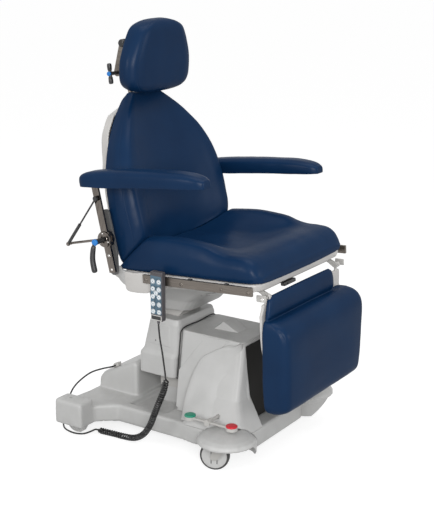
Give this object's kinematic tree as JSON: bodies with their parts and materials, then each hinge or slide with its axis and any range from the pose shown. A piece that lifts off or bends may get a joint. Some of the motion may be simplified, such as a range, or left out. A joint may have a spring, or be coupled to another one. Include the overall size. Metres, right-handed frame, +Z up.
{
  "type": "procedure chair",
  "caption": "Upholstered powered procedure chair on a rolling base, with reclining back, leg section, headrest, armrests, side rails and a corded handset.",
  "frame": {"origin": "on the floor under the middle of the chair, seen from above", "axes": "+Z up, +X to the seated person's left, the chair faces -Y"},
  "size_m": [0.7716, 0.9305, 1.4327],
  "materials": {
    "navy_vinyl": "satin",
    "base_grey": "satin",
    "shell_white": "satin",
    "panel_dark": "satin",
    "frame_paint": "satin",
    "brushed_steel": "satin",
    "black_plastic": "satin",
    "wheel_grey": "satin",
    "handset_grey": "satin",
    "button_white": "gloss",
    "cord_black": "satin"
  },
  "bodies": {
    "base": {"base_frame": "frame_paint", "base_cover": "base_grey", "tower_cover": "base_grey", "front_panel": "panel_dark", "lift_actuator": "black_plastic", "cord_connector": "wheel_grey", "cord_curl": "cord_black", "cord_lower": "cord_black"},
    "carriage": {"lift_column": "frame_paint", "column_cover": "base_grey"},
    "seat": {"seat_frame": "frame_paint", "seat_shell": "shell_white", "seat_hull": "base_grey", "seat_pad": "navy_vinyl", "rail_right": "brushed_steel", "rail_left": "brushed_steel", "recline_actuator": "black_plastic", "handset": "handset_grey", "cord_upper": "cord_black"},
    "back": {"back_frame": "frame_paint", "back_shell": "shell_white", "back_pad": "navy_vinyl"},
    "leg": {"leg_panel": "shell_white", "leg_pad": "navy_vinyl"},
    "head_post": {"head_post": "brushed_steel"},
    "head_link": {"head_link": "brushed_steel"},
    "head": {"head_bracket": "black_plastic", "head_pad": "navy_vinyl"},
    "head_handle": {"head_handle": "black_plastic"},
    "brake": {"brake_bar": "wheel_grey"},
    "clamp_right": {"arm_clamp_right": "brushed_steel"},
    "bar_right": {"arm_bar_right": "brushed_steel", "arm_pad_right": "navy_vinyl"},
    "lever_right": {"arm_lever_right": "black_plastic"},
    "sleeve_right": {"strut_sleeve_right": "black_plastic"},
    "rod_right": {"strut_rod_right": "black_plastic"},
    "swivel_right": {"castor_fork_right": "wheel_grey"},
    "roll_right": {"castor_wheel_right": "wheel_grey"},
    "rear_roll_right": {"rear_wheel_right": "wheel_grey"},
    "clamp_left": {"arm_clamp_left": "brushed_steel"},
    "bar_left": {"arm_bar_left": "brushed_steel", "arm_pad_left": "navy_vinyl"},
    "lever_left": {"arm_lever_left": "black_plastic"},
    "sleeve_left": {"strut_sleeve_left": "black_plastic"},
    "rod_left": {"strut_rod_left": "black_plastic"},
    "swivel_left": {"castor_fork_left": "wheel_grey"},
    "roll_left": {"castor_wheel_left": "wheel_grey"},
    "rear_roll_left": {"rear_wheel_left": "wheel_grey"},
    "handset_button_01": {"handset_button_01": "button_white"},
    "handset_button_02": {"handset_button_02": "button_white"},
    "handset_button_03": {"handset_button_03": "button_white"},
    "handset_button_04": {"handset_button_04": "button_white"},
    "handset_button_05": {"handset_button_05": "button_white"},
    "handset_button_06": {"handset_button_06": "button_white"},
    "handset_button_07": {"handset_button_07": "button_white"},
    "handset_button_08": {"handset_button_08": "button_white"},
    "handset_button_09": {"handset_button_09": "button_white"},
    "handset_button_10": {"handset_button_10": "button_white"},
    "handset_button_11": {"handset_button_11": "button_white"}
  },
  "joints": [
    {"name": "lift", "type": "slide", "parent": "base", "child": "carriage", "axis": [0, 0, 1], "range_m": [-0.03, 0.2], "deforming": ["cord_upper", "cord_curl"]},
    {"name": "tilt", "type": "hinge", "parent": "carriage", "child": "seat", "pos_m": [0, 0.0629, 0.5], "axis": [-1, 0, 0], "range_deg": [-3.5, 8.5], "deforming": ["cord_upper", "cord_curl"]},
    {"name": "recline", "type": "hinge", "parent": "seat", "child": "back", "pos_m": [0, 0.20801, 0.62838], "axis": [-1, 0, 0], "range_deg": [0, 75]},
    {"name": "leg", "type": "hinge", "parent": "seat", "child": "leg", "pos_m": [0, -0.34901, 0.61236], "axis": [-1, 0, 0], "range_deg": [0, 80]},
    {"name": "head_height", "type": "slide", "parent": "back", "child": "head_post", "axis": [0, 0.2334, 0.9724], "range_m": [0, 0.08]},
    {"name": "head_lower", "type": "hinge", "parent": "head_post", "child": "head_link", "pos_m": [0, 0.38096, 1.24813], "axis": [-1, 0, 0], "range_deg": [0, 40]},
    {"name": "head_upper", "type": "hinge", "parent": "head_link", "child": "head", "pos_m": [0, 0.35502, 1.35041], "axis": [-1, 0, 0], "range_deg": [0, 35]},
    {"name": "head_handle", "type": "hinge", "parent": "head_link", "child": "head_handle", "pos_m": [-0.0466, 0.38096, 1.24813], "axis": [1, 0, 0], "range_deg": [-60, 60]},
    {"name": "brake", "type": "hinge", "parent": "base", "child": "brake", "pos_m": [0, -0.1471, 0.153], "axis": [1, 0, 0], "range_deg": [-4, 4]},
    {"name": "arm_fold_right", "type": "hinge", "parent": "back", "child": "clamp_right", "pos_m": [0, 0.22811, 0.73565], "axis": [-1, 0, 0], "range_deg": [-10, 75]},
    {"name": "arm_height_right", "type": "slide", "parent": "clamp_right", "child": "bar_right", "axis": [0, 0.2334, 0.9724], "range_m": [-0.08, 0.02]},
    {"name": "arm_lever_right", "type": "hinge", "parent": "clamp_right", "child": "lever_right", "pos_m": [-0.3211, 0.22811, 0.73565], "axis": [1, 0, 0], "range_deg": [-60, 60]},
    {"name": "strut_swing_right", "type": "hinge", "parent": "clamp_right", "child": "sleeve_right", "pos_m": [0, 0.38077, 0.699], "axis": [-1, 0, 0], "range_deg": [-20.21, 5.43]},
    {"name": "strut_stroke_right", "type": "slide", "parent": "sleeve_right", "child": "rod_right", "axis": [0, -0.5876, 0.8092], "range_m": [-0.04386, 0.01134]},
    {"name": "castor_swivel_right", "type": "hinge", "parent": "base", "child": "swivel_right", "pos_m": [-0.26, -0.2191, 0], "axis": [0, 0, 1], "continuous": true},
    {"name": "castor_roll_right", "type": "hinge", "parent": "swivel_right", "child": "roll_right", "pos_m": [-0.27498, -0.18201, 0.05], "axis": [0.9272, 0.3746, 0], "continuous": true},
    {"name": "rear_roll_right", "type": "hinge", "parent": "base", "child": "rear_roll_right", "pos_m": [-0.3, 0.3909, 0.045], "axis": [1, 0, 0], "continuous": true},
    {"name": "arm_fold_left", "type": "hinge", "parent": "back", "child": "clamp_left", "pos_m": [0, 0.22811, 0.73565], "axis": [-1, 0, 0], "range_deg": [-10, 75]},
    {"name": "arm_height_left", "type": "slide", "parent": "clamp_left", "child": "bar_left", "axis": [0, 0.2334, 0.9724], "range_m": [-0.015, 0.085]},
    {"name": "arm_lever_left", "type": "hinge", "parent": "clamp_left", "child": "lever_left", "pos_m": [0.3211, 0.22811, 0.73565], "axis": [1, 0, 0], "range_deg": [-60, 60]},
    {"name": "strut_swing_left", "type": "hinge", "parent": "clamp_left", "child": "sleeve_left", "pos_m": [0, 0.38077, 0.699], "axis": [-1, 0, 0], "range_deg": [-4.18, 21.34]},
    {"name": "strut_stroke_left", "type": "slide", "parent": "sleeve_left", "child": "rod_left", "axis": [0, -0.7899, 0.6132], "range_m": [-0.00866, 0.04674]},
    {"name": "castor_swivel_left", "type": "hinge", "parent": "base", "child": "swivel_left", "pos_m": [0.26, -0.2191, 0], "axis": [0, 0, 1], "continuous": true},
    {"name": "castor_roll_left", "type": "hinge", "parent": "swivel_left", "child": "roll_left", "pos_m": [0.27498, -0.18201, 0.05], "axis": [0.9272, -0.3746, 0], "continuous": true},
    {"name": "rear_roll_left", "type": "hinge", "parent": "base", "child": "rear_roll_left", "pos_m": [0.3, 0.3909, 0.045], "axis": [1, 0, 0], "continuous": true},
    {"name": "handset_button_01_press", "type": "slide", "parent": "seat", "child": "handset_button_01", "axis": [1, 0, 0], "range_m": [0, 0.001], "stiffness_N_per_m": 300, "springref_m": -0.001},
    {"name": "handset_button_02_press", "type": "slide", "parent": "seat", "child": "handset_button_02", "axis": [1, 0, 0], "range_m": [0, 0.001], "stiffness_N_per_m": 300, "springref_m": -0.001},
    {"name": "handset_button_03_press", "type": "slide", "parent": "seat", "child": "handset_button_03", "axis": [1, 0, 0], "range_m": [0, 0.001], "stiffness_N_per_m": 300, "springref_m": -0.001},
    {"name": "handset_button_04_press", "type": "slide", "parent": "seat", "child": "handset_button_04", "axis": [1, 0, 0], "range_m": [0, 0.001], "stiffness_N_per_m": 300, "springref_m": -0.001},
    {"name": "handset_button_05_press", "type": "slide", "parent": "seat", "child": "handset_button_05", "axis": [1, 0, 0], "range_m": [0, 0.001], "stiffness_N_per_m": 300, "springref_m": -0.001},
    {"name": "handset_button_06_press", "type": "slide", "parent": "seat", "child": "handset_button_06", "axis": [1, 0, 0], "range_m": [0, 0.001], "stiffness_N_per_m": 300, "springref_m": -0.001},
    {"name": "handset_button_07_press", "type": "slide", "parent": "seat", "child": "handset_button_07", "axis": [1, 0, 0], "range_m": [0, 0.001], "stiffness_N_per_m": 300, "springref_m": -0.001},
    {"name": "handset_button_08_press", "type": "slide", "parent": "seat", "child": "handset_button_08", "axis": [1, 0, 0], "range_m": [0, 0.001], "stiffness_N_per_m": 300, "springref_m": -0.001},
    {"name": "handset_button_09_press", "type": "slide", "parent": "seat", "child": "handset_button_09", "axis": [1, 0, 0], "range_m": [0, 0.001], "stiffness_N_per_m": 300, "springref_m": -0.001},
    {"name": "handset_button_10_press", "type": "slide", "parent": "seat", "child": "handset_button_10", "axis": [1, 0, 0], "range_m": [0, 0.001], "stiffness_N_per_m": 300, "springref_m": -0.001},
    {"name": "handset_button_11_press", "type": "slide", "parent": "seat", "child": "handset_button_11", "axis": [1, 0, 0], "range_m": [0, 0.001], "stiffness_N_per_m": 300, "springref_m": -0.001}
  ],
  "couplings": [
    {"joint": "strut_swing_right", "follows": "arm_height_right", "rad_per_m": 4.3},
    {"joint": "strut_stroke_right", "follows": "arm_height_right", "ratio": 0.542},
    {"joint": "strut_swing_left", "follows": "arm_height_left", "rad_per_m": 4.28},
    {"joint": "strut_stroke_left", "follows": "arm_height_left", "ratio": 0.544}
  ]
}
